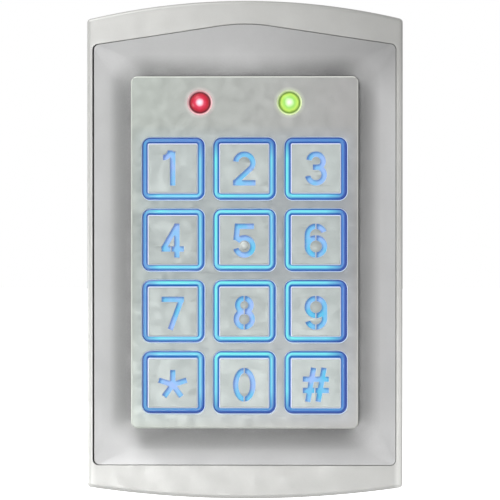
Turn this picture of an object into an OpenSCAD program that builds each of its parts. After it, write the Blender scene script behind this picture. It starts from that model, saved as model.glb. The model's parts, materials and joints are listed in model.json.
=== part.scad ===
// Keypad access reader: a cast zinc housing that hangs on a steel wall plate, with twelve lit push keys.
// Every sub-part is drawn lying on its back, x to the right, y up the front, z out from the wall,
// and upright() then stands it on the wall: the wall is the plane y = 0 and the front looks along -Y.

/* [Housing] */
// Width of the housing
case_w = 76; // [75:0.5:80]
// Height of the housing, from crown to crown
case_h = 120; // [119:0.5:124]
// Depth from the wall to the tip of the raised dot on the middle key
case_d = 22; // [22:0.25:24]
// Radius of the curved top edge
top_r = 164; // [150:1:220]
// Radius of the curved bottom edge
bottom_r = 261; // [220:1:320]
// Thickness of the side walls
wall = 1.6; // [1.4:0.1:1.8]

/* [Bezel] */
// Height of the bezel's crown above the middle of the housing
gable_crown = 54.4; // [54:0.1:54.8]
// Fall of the bezel's gable, as a slope
gable_slope = 0.15; // [0.13:0.01:0.16]
// Radius of the rounded top of the gable
gable_r = 41; // [30:1:50]
// Height of the bezel's bottom edge, below the middle of the housing
bezel_bottom = -51.9; // [-52.2:0.1:-51.6]
// Gap between the bezel and the housing
seam = 0.12; // [0.05:0.01:0.15]
// How far the dished face falls from its rim to the key panel
dish_d = 3.4; // [2.8:0.1:3.6]

/* [Key panel] */
// Width of the raised key panel
panel_w = 54.6; // [54.4:0.1:55]
// Height of the raised key panel
panel_h = 84.6; // [84.2:0.1:85]
// Height of the panel's middle above the middle of the housing
panel_y = -0.6; // [-0.8:0.1:-0.4]
// Thickness of the panel's front
panel_t = 2; // [1.6:0.1:2]
// Height of the two status lamps above the middle of the housing
lamp_y = 35.4; // [35:0.1:36]
// Distance of each status lamp from the centre line
lamp_x = 10.75; // [10:0.05:12]

/* [Keys] */
// Spacing of the keys, both ways
key_pitch = 17.1; // [16.9:0.1:17.2]
// Height of the top row of keys above the middle of the housing
top_row_y = 19.5; // [19.3:0.1:19.7]
// Side of a metal key cap
cap_w = 12; // [11.6:0.1:12.2]
// Side of the panel opening that a key stands in
opening_w = 15; // [14.8:0.1:15.1]
// How far a key cap stands out of the panel
key_proud = 3.2; // [2.8:0.1:3.4]
// How far a key travels
key_travel = 0.9; // [0.7:0.05:0.9]
// Width of the strokes of the figures cut through the caps
stroke = 1.25; // [1:0.05:1.4]

/* [Wall plate] */
// Thickness of the steel wall plate
plate_t = 1.5; // [1.2:0.1:1.5]
// Distance between the two wall screws
wall_screw_spacing = 83.3; // [83:0.1:84]
// Radius of the wall screw holes
wall_hole_r = 2.2; // [2:0.1:2.4]
// Radius of the hole that the cable comes through
cable_hole_r = 8; // [7.5:0.5:9]
// Height of the cable hole's centre above the middle of the housing
cable_y = -18; // [-20:1:-17]
// Radius of the bore of the cable grommet
gland_r = 3; // [2.5:0.25:3.5]

/* [Hidden] */
KEYS = ["1", "2", "3", "4", "5", "6", "7", "8", "9", "star", "0", "hash"];
$fn = 48;
eps = 0.02;

// The stack of parts, as distances out from the wall.
cover_z = 2;                            // back of the rear cover
cover_t = 1.4;
ledge_back = 4.2;                       // where the housing's inner ledge begins
gasket_z = cover_z + cover_t;
board_z = 9;                            // back of the circuit board
board_t = 1.6;
board_front = board_z + board_t;
ledge_front = 11;                       // the ledge that carries the bezel and the key panel
pip_h = 0.4;
cap_front = case_d - pip_h;
panel_front = cap_front - key_proud;
panel_back = panel_front - panel_t;
frame_front = panel_front - 1.6;
bezel_rim = frame_front - 0.2;
bezel_low = bezel_rim - dish_d;
flange_t = 1.2;                         // the panel's flange, held under the bezel
flange_top = ledge_front + flange_t;
frame_back = 0.3;                       // the housing stands just off the wall

// Outline of the housing.
corner_r = 1;
seam_w = case_w - 2 * wall;
ledge_w = 3.5;
plate_in = wall + 0.5;                  // inset of the wall plate inside the rear cavity

// Key panel.
panel_r = 1.5;
panel_wall = 1.6;
panel_gap = 0.2;
window_w = panel_w + 2 * panel_gap;
window_h = panel_h + 2 * panel_gap;
flange_out = 1;
ear_r = 2;
ear_x = 20;
ear_ys = [46.6, -47];
opening_r = 2;
lamp_hole_r = 2.6;
lamp_halo_r = 2.95;

// Keys.
key_columns = 3;
flange_w = 16.2;
flange_h = 0.8;
flange_z = panel_back - 0.05 - flange_h;
frame_w = opening_w - 0.4;
ring_top = panel_front + 0.3;
cap_skirt_z = ring_top - 1;
cap_top_t = 0.7;
cap_wall = 0.6;
fit_gap = 0.05;
plug_w = cap_w - 2 * cap_wall - 2 * fit_gap;
mat_t = 1;
dome_z = board_front + mat_t;
dome_top = dome_z + 1.8;
stem_r = 2.8;
pill_r = 2;
pill_t = 0.6;
pill_z = board_front + key_travel + 0.15;

// Rear parts.
cover_w = 70.4;
cover_h = 103.2;
grommet_r = 4.5;                        // neck of the cable grommet
sensor_at = [-25, -34];
security_z = 5.6;                       // height of the security screw off the wall
hook_x = 15;

// Screws, as [x, y] lists.
wall_screw_at = [for (y = [-0.5, 0.5]) [0, y * wall_screw_spacing]];
bezel_screw_at = [for (x = [-35, 35], y = [-30, 0, 30]) [x, y]];
board_screw_at = [for (x = [-30.4, 30.4], y = [-40.4, -1.2, 38]) [x, y]];
panel_screw_at = [for (x = [-ear_x, ear_x], y = ear_ys) [x, y]];
cover_screw_at = [for (x = [-26, 26], y = [-53.4, 52.9]) [x, y]];

// ---------------------------------------------------------------- helpers

// Stands a sub-part on the wall.
module upright() {
    rotate([90, 0, 0]) children();
}

// A rectangle with round corners, centred.
module round_rect(w, h, r) {
    square([w, h - 2 * r], center = true);
    square([w - 2 * r, h], center = true);
    for (x = [-1, 1], y = [-1, 1])
        translate([x * (w / 2 - r), y * (h / 2 - r)]) circle(r);
}

// A slab of a flat shape between two heights.
module slab(z0, z1) {
    translate([0, 0, z0]) linear_extrude(z1 - z0) children();
}

// A round bar between two heights.
module rod(z0, z1, r) {
    translate([0, 0, z0]) cylinder(z1 - z0, r = r);
}

module at(points) {
    for (p = points) translate([p.x, p.y, 0]) children();
}

function unit(v) = v / norm(v);
function turn(a) = [cos(a), sin(a)];
function mix(a, b, t) = a + (b - a) * t;

// The arc that rounds corner b of the path a, b, c, as n + 1 points.
function fillet(a, b, c, r, n) =
    let (u = unit(a - b), v = unit(c - b), half = acos(u * v) / 2,
         mid = b + unit(u + v) * r / sin(half),
         from = b + u * r / tan(half) - mid, to = b + v * r / tan(half) - mid,
         a0 = atan2(from.y, from.x), da = atan2(from.x * to.y - from.y * to.x, from * to))
    [for (i = [0:n]) mid + r * turn(a0 + da * i / n)];

corner_n = 4;
apex_n = 8;

// The bezel's outline, inset by g: two upright sides, a straight foot and a low rounded gable.
function seam_points(g) =
    let (x = seam_w / 2 - g, foot = bezel_bottom + g,
         rise = gable_r * (sqrt(1 + gable_slope * gable_slope) - 1),
         apex = [0, gable_crown + rise - g * sqrt(1 + gable_slope * gable_slope)],
         right = [x, apex.y - gable_slope * x], left = [-x, right.y], r = max(1.4 - g, 0.4))
    concat(fillet([x, foot], right, apex, r, corner_n),
           fillet(right, apex, left, gable_r - g, apex_n),
           fillet(apex, left, [-x, foot], r, corner_n),
           fillet(left, [-x, foot], [x, foot], r, corner_n),
           fillet([-x, foot], [x, foot], right, r, corner_n));

// The window that the key panel stands in, with a point for each point of the outline.
function window_points() =
    let (x = window_w / 2, top = panel_y + window_h / 2, foot = panel_y - window_h / 2,
         r = panel_r + panel_gap)
    concat(fillet([x, foot], [x, top], [0, top], r, corner_n),
           [for (i = [0:apex_n]) [6 - 12 * i / apex_n, top]],
           fillet([0, top], [-x, top], [-x, foot], r, corner_n),
           fillet([-x, top], [-x, foot], [x, foot], r, corner_n),
           fillet([-x, foot], [x, foot], [x, top], r, corner_n));

// The bezel's section from rim, 0, to window, 1, as [place, height] pairs round the section.
dish_n = 10;
under_n = 4;
rim_foot = 0.28;
shell_t = 1.9;
function dish_height(s) = bezel_low + dish_d * pow(1 - s, 1.7);
function bezel_section() = concat(
    [[0, ledge_front]],
    [for (i = [0:dish_n]) [i / dish_n, dish_height(i / dish_n)]],
    [[1, flange_top], [0.8, flange_top]],
    [for (i = [1:under_n])
        let (s = mix(0.8, rim_foot, i / under_n)) [s, max(flange_top, dish_height(s) - shell_t)]],
    [[rim_foot, ledge_front]]);

// The housing's outline, inset by g: upright sides, curved top and bottom edges, small corners.
arc_n = 16;
function case_points(g) =
    let (x = case_w / 2 - g, rt = top_r - g, rb = bottom_r - g, r = max(corner_r - g, 0.3),
         at = acos(x / rt), ab = acos(x / rb),
         top = [for (i = [0:arc_n])
             [0, case_h / 2 - top_r] + rt * turn(mix(at, 180 - at, i / arc_n))],
         foot = [for (i = [0:arc_n])
             [0, bottom_r - case_h / 2] + rb * turn(mix(180 + ab, 360 - ab, i / arc_n))])
    concat(fillet(foot[arc_n], top[0], top[1], r, corner_n),
           [for (i = [1:arc_n - 1]) top[i]],
           fillet(top[arc_n - 1], top[arc_n], foot[0], r, corner_n),
           fillet(top[arc_n], foot[0], foot[1], r, corner_n),
           [for (i = [1:arc_n - 1]) foot[i]],
           fillet(foot[arc_n - 1], foot[arc_n], top[0], r, corner_n));

// The opening through the housing's ledge, and the same shape grown by g.
module ledge_window(g = 0) {
    x = seam_w / 2 - ledge_w + g;
    y = 49.2 + g;
    polygon([[-x, -y], [x, -y], [x, 46.5 + g], [24, y], [-24, y], [-x, 46.5 + g]]);
}

// ---------------------------------------------------------------- figures cut through the caps

figure_h = 8.1;
reach_x = 2.05;                         // half the width between stroke centre lines
reach_y = (figure_h - stroke) / 2;      // half the height between stroke centre lines
bridge = 0.28;                          // width of the links that hold a figure's islands
figure_sink = 0.12;                     // each row's figures sit this much lower on their caps

// A stroke from a to b.
module bar(a, b) {
    d = b - a;
    translate(a) rotate(atan2(d.y, d.x)) translate([0, -stroke / 2]) square([norm(d), stroke]);
}

// A stroke along an arc about c, from angle a0 on to angle a1, which is less than a turn away.
module arc(c, r, a0, a1) {
    far = 2 * (r + stroke);
    translate(c) intersection() {
        difference() {
            circle(r + stroke / 2);
            circle(r - stroke / 2);
        }
        polygon(concat([[0, 0]], [for (i = [0:6]) far * turn(mix(a0, a1, i / 6))]));
    }
}

module hoop(c, r) {
    translate(c) difference() {
        circle(r + stroke / 2);
        circle(r - stroke / 2);
    }
}

// Links across the strokes on the centre line, at the given heights.
module links(heights) {
    for (y = heights) translate([0, y]) square([bridge, 2 * stroke], center = true);
}

module figure_6() {
    low = reach_x - reach_y;
    difference() {
        union() {
            hoop([0, low], reach_x);
            bar([-reach_x, low], [-reach_x, -low]);
            arc([0, -low], reach_x, 20, 180);
        }
        links([-reach_y, low + reach_x, reach_y]);
    }
}

// A closed oval about the origin, a and b half its width and height.
oval_n = 36;
module oval(a, b) {
    polygon([for (i = [0:oval_n - 1]) let (t = turn(360 * i / oval_n)) [a * t.x, b * t.y]]);
}

module figure_0() {
    difference() {
        oval(reach_x + stroke / 2, reach_y + stroke / 2);
        oval(reach_x - stroke / 2, reach_y - stroke / 2);
        links([-reach_y, reach_y]);
    }
}

module figure_8() {
    top = 1.6;
    low = 1.9;
    difference() {
        union() {
            hoop([0, reach_y - top], top);
            hoop([0, low - reach_y], low);
        }
        links([-reach_y, 0.3, reach_y]);
    }
}

module figure(name) {
    e = figure_h / 2;
    w = reach_x + stroke / 2;
    if (name == "1") {
        bar([0, -e], [0, e]);
        arc([-2.3, 4.3], 1.7, -90, 0);
    }
    if (name == "2") {
        arc([0, reach_y - reach_x], reach_x, -38, 172);
        bar([1.62, 0.12], [-2.1, -3.3]);
        bar([-w, -reach_y], [w, -reach_y]);
    }
    if (name == "3") {
        arc([0, reach_y - 1.7], 1.7, -72, 170);
        arc([0, 1.95 - reach_y], 1.95, -170, 78);
        bar([-0.7, 0.3], [0.5, 0.3]);
    }
    if (name == "4") difference() {
        union() {
            bar([1, -e], [1, e]);
            bar([-w, -2], [w, -2]);
            bar([-2.25, -2], [1, 3.6]);
        }
        translate([-0.4, -2]) square([bridge, 1.2 * stroke], center = true);
    }
    if (name == "5") {
        bar([-1.9, reach_y], [2.3, reach_y]);
        bar([-1.6, e], [-1.95, 0.1]);
        arc([0, reach_x - reach_y], reach_x, -165, 145);
    }
    if (name == "6") figure_6();
    if (name == "7") {
        bar([-w, reach_y - 0.25], [w, reach_y - 0.25]);
        bar([2.05, 3.1], [-0.6, -e]);
    }
    if (name == "8") figure_8();
    if (name == "9") rotate(180) figure_6();
    if (name == "0") figure_0();
    if (name == "star")
        for (i = [0:4]) rotate(90 + 72 * i) bar([0, 0], [3.5, 0]);
    if (name == "hash") difference() {
        union() {
            for (x = [-1.25, 1.25]) bar([x - 0.7, -e], [x + 0.7, e]);
            for (y = [-1.35, 1.35]) bar([-3.1, y], [3.1, y]);
        }
        translate([-0.22, -1.35]) square([bridge, 1.2 * stroke], center = true);
    }
}

// ---------------------------------------------------------------- housing

// The cast ring: a rear cavity for the wall plate, a ledge, and the frame round the bezel.
module outer_frame() {
    color([0.84, 0.83, 0.81]) upright() difference() {
        slab(frame_back, frame_front) polygon(case_points(0));
        slab(frame_back - 1, ledge_back) polygon(case_points(wall));
        slab(ledge_back - 1, ledge_front + 1) ledge_window();
        slab(ledge_front, frame_front + 1) polygon(seam_points(0));
        at(bezel_screw_at) rod(ledge_back - 1, ledge_front + 1, 1.15);
        at(bezel_screw_at) rod(ledge_back - 1, ledge_back + 1.5, 2);
        at(cover_screw_at) rod(ledge_back - 1, ledge_back + 4, 1);
        hook_pockets();
        translate([-5.6, -55.1, ledge_back - 1]) cube([11.2, 2.7, 5.4]);
        translate([0, -case_h / 2 - 1, security_z]) rotate([-90, 0, 0]) {
            cylinder(8, r = 1.7);
            cylinder(3.3, r = 3);
        }
    }
}

// Two undercut pockets that the wall plate's hooks reach into.
module hook_pockets() {
    for (x = [-hook_x, hook_x]) translate([x - 5.6, 0, 0]) {
        translate([0, 52.7, ledge_back - 1]) cube([11.2, 2.4, 4.4]);
        translate([0, 52.7, ledge_back + 1.2]) cube([11.2, 4.4, 2.2]);
    }
}

// The dished lid between the frame and the key panel, with its screw bosses.
module bezel() {
    color([0.76, 0.76, 0.76]) upright() difference() {
        union() {
            bezel_shell();
            at(board_screw_at) rod(board_front, flange_top + 0.4, 1.9);
            at(panel_screw_at) rod(flange_top, flange_top + 1.2, 1.9);
        }
        at(bezel_screw_at) rod(ledge_front - 1, ledge_front + 3.5, 1);
        at(board_screw_at) rod(board_front - 1, flange_top + 0.6, 0.9);
        at(panel_screw_at) rod(flange_top - 1, flange_top + 0.9, 0.9);
    }
}

module bezel_shell() {
    rim = seam_points(seam);
    window = window_points();
    section = bezel_section();
    n = len(rim);
    m = len(section);
    points = [for (p = section, i = [0:n - 1])
        let (q = mix(rim[i], window[i], p[0])) [q.x, q.y, p[1]]];
    faces = [for (j = [0:m - 1], i = [0:n - 1])
        let (a = j * n + i, b = j * n + (i + 1) % n,
             d = ((j + 1) % m) * n + i, c = ((j + 1) % m) * n + (i + 1) % n)
        each [[a, d, c], [a, c, b]]];
    polyhedron(points, faces, convexity = 6);
}

module panel_shape(g) {
    translate([0, panel_y]) round_rect(panel_w + 2 * g, panel_h + 2 * g, panel_r + max(g, -1));
}

// The raised tray that the keys stand in, with a flange that the bezel holds down.
module key_panel() {
    color([0.72, 0.73, 0.72]) upright() difference() {
        union() {
            slab(ledge_front, panel_front) panel_shape(0);
            slab(ledge_front, flange_top) panel_shape(flange_out);
            slab(ledge_front, flange_top - eps) difference() {
                for (x = [-ear_x, ear_x]) translate([x, 0]) {
                    translate([0, (ear_ys[0] + ear_ys[1]) / 2])
                        square([2 * ear_r, ear_ys[0] - ear_ys[1]], center = true);
                    for (y = ear_ys) translate([0, y]) circle(ear_r);
                }
                panel_shape(-panel_wall / 2);
            }
        }
        slab(ledge_front - 1, panel_back) panel_shape(-panel_wall);
        at(key_places()) slab(panel_back - 1, panel_front + 1)
            round_rect(opening_w, opening_w, opening_r);
        for (x = [-lamp_x, lamp_x]) translate([x, lamp_y, 0]) {
            rod(panel_back - 1, panel_front + 1, lamp_hole_r);
            translate([0, 0, panel_front - 0.35]) cylinder(0.36, r1 = lamp_hole_r, r2 = lamp_halo_r);
        }
        at(panel_screw_at) rod(ledge_front - 1, flange_top + 1, 1.1);
    }
}

function key_place(i) =
    [(i % key_columns - 1) * key_pitch, top_row_y - floor(i / key_columns) * key_pitch];
function key_places() = [for (i = [0:len(KEYS) - 1]) key_place(i)];

// ---------------------------------------------------------------- keys

module round_square(w, r) {
    round_rect(w, w, r);
}

// The metal cap: a shallow box with its figure cut through the top.
module keycap(i) {
    color([0.76, 0.78, 0.75]) upright() translate(concat(key_place(i), 0)) {
        difference() {
            slab(cap_skirt_z, cap_front) round_square(cap_w, 0.4);
            slab(cap_skirt_z - 1, cap_front - cap_top_t)
                round_square(cap_w - 2 * cap_wall, 0.3);
            translate([0, -figure_sink * floor(i / key_columns), 0])
                slab(cap_front - 1, cap_front + 1) figure(KEYS[i]);
        }
        if (KEYS[i] == "5") raised_dot();
    }
}

// The dot that a finger finds on the middle key, 2 mm across.
module raised_dot() {
    dot_w = 1;
    r = (dot_w * dot_w + pip_h * pip_h) / (2 * pip_h);
    translate([0, -1.25, 0]) intersection() {
        translate([0, 0, cap_front + pip_h - r]) sphere(r);
        rod(cap_front - 0.2, cap_front + 1, dot_w);
    }
}

// The clear body of a key: the lit ring round the cap, the core inside it, a flange and a stem.
module light_frame(i) {
    color([0.45, 0.75, 0.95]) upright() translate(concat(key_place(i), 0)) {
        rod(dome_top, flange_z + eps, stem_r);
        slab(flange_z, flange_z + flange_h) round_square(flange_w, 1);
        slab(flange_z + flange_h - eps, cap_skirt_z) round_square(frame_w, 1.8);
        slab(cap_skirt_z - eps, ring_top) difference() {
            round_square(frame_w, 1.8);
            round_square(cap_w + 2 * fit_gap, 0.4);
        }
        slab(cap_skirt_z - eps, cap_front - cap_top_t) round_square(plug_w, 0.25);
    }
}

// The carbon pill that closes the contact under a key.
module contact_pill(i) {
    color([0.1, 0.1, 0.1]) upright() translate(concat(key_place(i), 0))
        rod(pill_z, pill_z + pill_t, pill_r);
}

// The silicone sheet with a dome under each key and slots for the lamps between them.
module key_mat() {
    mat_top = 29.5;
    mat_foot = -41;
    color([0.85, 0.87, 0.88]) upright() difference() {
        union() {
            translate([-25.4, mat_foot, board_front]) cube([50.8, mat_top - mat_foot, mat_t]);
            at(key_places()) translate([0, 0, dome_z]) cylinder(dome_top - dome_z, r1 = 4.4, r2 = 3);
        }
        at(key_places()) {
            rod(board_front - 1, dome_z + eps, 3.6);
            translate([0, 0, dome_z]) cylinder(pill_z + pill_t - dome_z, r1 = 3.6, r2 = 2.4);
        }
        at(backlight_places()) translate([0, 0, board_front])
            cube([2, 2.8, 3 * mat_t], center = true);
    }
}

// ---------------------------------------------------------------- electronics

board_w = 64;
board_top = 41.4;
board_foot = -43.6;

// The board that carries the electronics, with holes for its screws.
module circuit_board() {
    color([0.1, 0.35, 0.2]) upright() difference() {
        slab(board_z, board_front) translate([0, (board_top + board_foot) / 2])
            round_rect(board_w, board_top - board_foot, 1);
        at(board_screw_at) rod(board_z - 1, board_front + 1, 1.1);
    }
}

function backlight_places() =
    [for (p = key_places(), side = [-1, 1]) [p.x + side * 6.3, p.y]];

module backlight_leds() {
    color([0.9, 0.95, 1]) upright() at(backlight_places())
        translate([-0.6, -1, board_front]) cube([1.2, 2, 0.8]);
}

// A 5 mm lamp: domed body, base flange and two legs.
module status_led(x) {
    lamp_r = 2.5;
    lamp_tip = panel_front + 1.2;
    base = board_front + 0.4;
    upright() translate([x, lamp_y, 0]) {
        translate([0, 0, lamp_tip - lamp_r]) sphere(lamp_r);
        rod(base, lamp_tip - lamp_r, lamp_r);
        rod(base, base + 1, 2.9);
        for (leg = [-1.27, 1.27]) translate([leg - 0.25, -0.25, board_front])
            cube([0.5, 0.5, base - board_front + eps]);
    }
}

module status_led_red() {
    color([0.85, 0.1, 0.2]) status_led(-lamp_x);
}

module status_led_green() {
    color([0.55, 0.85, 0.25]) status_led(lamp_x);
}

// A square chip with eight leads on each side.
module controller_chip() {
    side = 7;
    pitch = 0.8;
    color([0.12, 0.12, 0.13]) upright() translate([0, 20, 0]) {
        translate([-side / 2, -side / 2, board_z - 1.5]) cube([side, side, 1.4]);
        for (a = [0:90:270], i = [0:7]) rotate([0, 0, a])
            translate([side / 2 - 0.1, (i - 3.5) * pitch - 0.18, board_z - 0.5])
                cube([1.2, 0.36, 0.5]);
    }
}

module relay() {
    color([0.15, 0.15, 0.16]) upright() translate([-20, -10, 0]) {
        slab(board_z - 5, board_z - 0.4) round_rect(9.6, 14.6, 0.8);
        for (x = [-3.8, 3.8], y = [-5.1, -1.7, 1.7, 5.1])
            translate([x - 0.3, y - 0.3, board_z - 0.5]) cube([0.6, 0.6, 0.5]);
    }
}

// A round sounder with its sound hole facing the rear cover.
module buzzer() {
    buzzer_h = 5.2;
    color([0.08, 0.08, 0.08]) upright() translate([17, 20, 0]) difference() {
        rod(board_z - buzzer_h, board_z, 6);
        rod(board_z - buzzer_h - 1, board_z - buzzer_h + 2, 1);
        translate([0, 0, board_z - buzzer_h - eps]) difference() {
            cylinder(0.6, r = 5.2);
            cylinder(0.6, r = 2.4);
        }
    }
}

// Ten screw terminals in one strip; each has a wire mouth and a clamp screw.
module terminal_header() {
    ways = 10;
    pitch = 2.54;
    height = 5.2;
    color([0.1, 0.45, 0.3]) upright() translate([0, -30.2, 0]) difference() {
        translate([-ways * pitch / 2, -3.2, board_z - height]) cube([ways * pitch, 6.4, height]);
        for (i = [0:ways - 1]) translate([(i - (ways - 1) / 2) * pitch, 0, 0]) {
            translate([0, -1.2, 0]) rod(board_z - height - 1, board_z - height + 1.4, 0.85);
            translate([-0.8, 1.2, board_z - height + 1.4]) cube([1.6, 3, 1.6]);
        }
    }
}

// The flat loop of wire that reads a card held to the front.
module antenna_coil() {
    coil_w = 56;
    coil_h = 36;
    band = 2.6;
    color([0.7, 0.38, 0.2]) upright() slab(board_z - 1.6, board_z) translate([0, 20])
        difference() {
            round_rect(coil_w, coil_h, 6);
            round_rect(coil_w - 2 * band, coil_h - 2 * band, 6 - band);
        }
}

module capacitors() {
    can_r = 3;
    can_h = 4.8;
    color([0.75, 0.76, 0.78]) upright() for (y = [-6, -15]) translate([22, y, 0]) {
        slab(board_z - 0.9, board_z) round_rect(6.6, 6.6, 0.5);
        rod(board_z - can_h, board_z - 0.9 + eps, can_r);
    }
}

// The light cell that notices the housing coming off the wall.
module light_sensor() {
    color([0.8, 0.55, 0.3]) upright() at([sensor_at]) {
        rod(gasket_z + 0.6, gasket_z + 2.6, 2.5);
        for (x = [-1.3, 1.3]) translate([x, 0, 0]) rod(gasket_z + 2.6 - eps, board_z, 0.3);
    }
}

// ---------------------------------------------------------------- rear parts

// The moulded cover that closes the electronics in, with four screw ears, a light window and
// two pockets that clear the heads of the wall screws.
module rear_cover() {
    pocket_r = 5.5;
    pocket_d = 2;
    skin = 1.2;
    color([0.1, 0.1, 0.11]) upright() difference() {
        union() {
            slab(cover_z, gasket_z) round_rect(cover_w, cover_h, 3);
            at(cover_screw_at) rod(cover_z, ledge_back, 2.4);
            at(wall_screw_at) rod(cover_z, cover_z + pocket_d + skin, pocket_r + skin);
        }
        at(wall_screw_at) rod(cover_z - 1, cover_z + pocket_d, pocket_r);
        at(cover_screw_at) {
            rod(cover_z - 1, ledge_back + 1, 1.15);
            translate([0, 0, cover_z - eps]) cylinder(0.9 + eps, r1 = 2.05, r2 = 1.15);
        }
        translate([0, cable_y, 0]) rod(cover_z - 1, gasket_z + 1, grommet_r);
        at([sensor_at]) rod(cover_z - 1, gasket_z + 1, 2.8);
    }
}

// The rubber ring between the rear cover and the ledge.
module seal_gasket() {
    color([0.05, 0.05, 0.05]) upright() slab(gasket_z, ledge_back) difference() {
        round_rect(cover_w, cover_h, 3);
        ledge_window(0.3);
        at(cover_screw_at) circle(2.6);
    }
}

// The rubber bush that seals the cable where it enters the rear cover.
module cable_grommet() {
    flange_r = 6;
    color([0.08, 0.08, 0.08]) upright() translate([0, cable_y, 0]) difference() {
        union() {
            rod(0.6, cover_z, flange_r);
            rod(cover_z - eps, gasket_z + eps, grommet_r);
            rod(gasket_z, gasket_z + 1.2, flange_r);
        }
        rod(0, 6, gland_r);
    }
}

// The pressed steel plate: two hooks at the top, a threaded tab at the foot.
module back_plate() {
    color([0.72, 0.74, 0.76]) upright() difference() {
        union() {
            slab(0, plate_t) polygon(case_points(plate_in));
            for (x = [-hook_x, hook_x]) translate([x - 5, 0, 0]) {
                translate([0, 53.2, 0]) cube([10, 1.5, 7.1]);
                translate([0, 53.2, 5.6]) cube([10, 3.3, 1.5]);
            }
            translate([-5, -54.5, 0]) cube([10, 1.5, 8.2]);
        }
        for (x = [-hook_x, hook_x]) translate([x - 5.4, 44.8, -1]) cube([10.8, 8.4, 4]);
        translate([-5.4, -53, -1]) cube([10.8, 7.5, 4]);
        at(wall_screw_at) rod(-1, plate_t + 1, wall_hole_r);
        translate([0, cable_y, 0]) rod(-1, plate_t + 1, cable_hole_r);
        translate([0, -60, security_z]) rotate([-90, 0, 0]) cylinder(8, r = 1.5);
    }
}

// ---------------------------------------------------------------- fasteners

// A pan-head screw pointing out from the wall, its head between z0 and z1.
module pan_screw(z0, z1, tip, head_r, shank_r) {
    difference() {
        rod(z0, z1, head_r);
        for (a = [0, 90]) rotate([0, 0, a])
            translate([0, 0, z0]) cube([1.3 * head_r, 0.4, 1], center = true);
    }
    rod(z1 - eps, tip, shank_r);
}

// The tamper-proof screw that comes up through the foot, with a pin in its hexagon socket.
module security_screw() {
    head_r = 2.75;
    color([0.75, 0.76, 0.78]) upright() translate([0, -59.6, security_z]) rotate([-90, 0, 0]) {
        difference() {
            cylinder(1.9, r = head_r);
            translate([0, 0, -eps]) difference() {
                cylinder(1.2, r = 1.5, $fn = 6);
                cylinder(1.2, r = 0.5);
            }
        }
        translate([0, 0, 1.9 - eps]) cylinder(5.1, r = 1.5);
    }
}

module bezel_screws() {
    color([0.7, 0.7, 0.72]) upright() at(bezel_screw_at)
        pan_screw(ledge_back + 0.2, ledge_back + 1.5, ledge_front + 3.3, 1.8, 1);
}

module panel_screws() {
    color([0.7, 0.7, 0.72]) upright() at(panel_screw_at)
        pan_screw(ledge_front - 1.3, ledge_front, flange_top + 0.8, 1.8, 0.9);
}

module board_screws() {
    color([0.7, 0.7, 0.72]) upright() at(board_screw_at)
        pan_screw(board_z - 1.2, board_z, flange_top + 0.5, 1.6, 0.9);
}

module cover_screws() {
    color([0.7, 0.7, 0.72]) upright() at(cover_screw_at) {
        difference() {
            translate([0, 0, cover_z]) cylinder(0.85, r1 = 1.95, r2 = 1.1);
            for (a = [0, 90]) rotate([0, 0, a])
                translate([0, 0, cover_z]) cube([2.2, 0.4, 0.9], center = true);
        }
        rod(cover_z + 0.85 - eps, ledge_back + 3.6, 1);
    }
}

// ---------------------------------------------------------------- nodes

back_plate();
outer_frame();
bezel();
key_panel();
key_mat();
circuit_board();
backlight_leds();
status_led_red();
status_led_green();
controller_chip();
relay();
buzzer();
terminal_header();
antenna_coil();
capacitors();
light_sensor();
rear_cover();
seal_gasket();
cable_grommet();
security_screw();
bezel_screws();
panel_screws();
board_screws();
cover_screws();
for (i = [0:len(KEYS) - 1]) {
    keycap(i);
    light_frame(i);
    contact_pill(i);
}
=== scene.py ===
"""Looks of the keypad access reader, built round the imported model.

Shapes are drawn in millimetres as (x, z) outlines at a depth d, which is the distance out from the
wall, and go into the frame as (x, -d, z) in metres.
"""

import json
import math

import bmesh
import bpy
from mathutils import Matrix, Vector
from mathutils.geometry import tessellate_polygon

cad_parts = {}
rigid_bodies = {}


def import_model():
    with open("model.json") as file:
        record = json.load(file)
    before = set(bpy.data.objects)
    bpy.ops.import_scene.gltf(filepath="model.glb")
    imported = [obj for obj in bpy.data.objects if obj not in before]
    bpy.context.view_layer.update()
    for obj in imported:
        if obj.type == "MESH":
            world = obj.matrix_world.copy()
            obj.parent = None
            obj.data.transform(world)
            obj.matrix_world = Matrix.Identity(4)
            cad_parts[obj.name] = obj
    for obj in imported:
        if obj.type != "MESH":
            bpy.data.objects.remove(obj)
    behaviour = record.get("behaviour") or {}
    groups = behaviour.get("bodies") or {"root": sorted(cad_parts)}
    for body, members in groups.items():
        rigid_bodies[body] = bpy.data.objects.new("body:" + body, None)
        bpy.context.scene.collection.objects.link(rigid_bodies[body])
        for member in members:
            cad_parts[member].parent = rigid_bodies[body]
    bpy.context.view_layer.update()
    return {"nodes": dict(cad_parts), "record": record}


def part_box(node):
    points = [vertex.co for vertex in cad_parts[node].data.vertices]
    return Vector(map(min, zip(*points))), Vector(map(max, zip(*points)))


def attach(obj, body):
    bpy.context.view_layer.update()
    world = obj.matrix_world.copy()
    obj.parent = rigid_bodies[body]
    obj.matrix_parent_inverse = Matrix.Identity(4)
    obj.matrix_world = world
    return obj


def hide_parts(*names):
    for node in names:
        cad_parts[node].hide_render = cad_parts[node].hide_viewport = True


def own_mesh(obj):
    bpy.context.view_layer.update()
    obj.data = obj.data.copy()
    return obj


for leftover in list(bpy.data.objects):
    bpy.data.objects.remove(leftover)

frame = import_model()
nodes = frame["nodes"]

MM = 0.001
KEYS = ["1", "2", "3", "4", "5", "6", "7", "8", "9", "star", "0", "hash"]


def front_of(node):
    """How far a node reaches out from the wall, in millimetres."""
    return -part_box(node)[0].y / MM


def middle_of(node):
    """The (x, z) middle of a node, in millimetres."""
    low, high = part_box(node)
    return (low.x + high.x) / 2 / MM, (low.z + high.z) / 2 / MM


# ---------------------------------------------------------------- sizes, in millimetres

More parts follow.
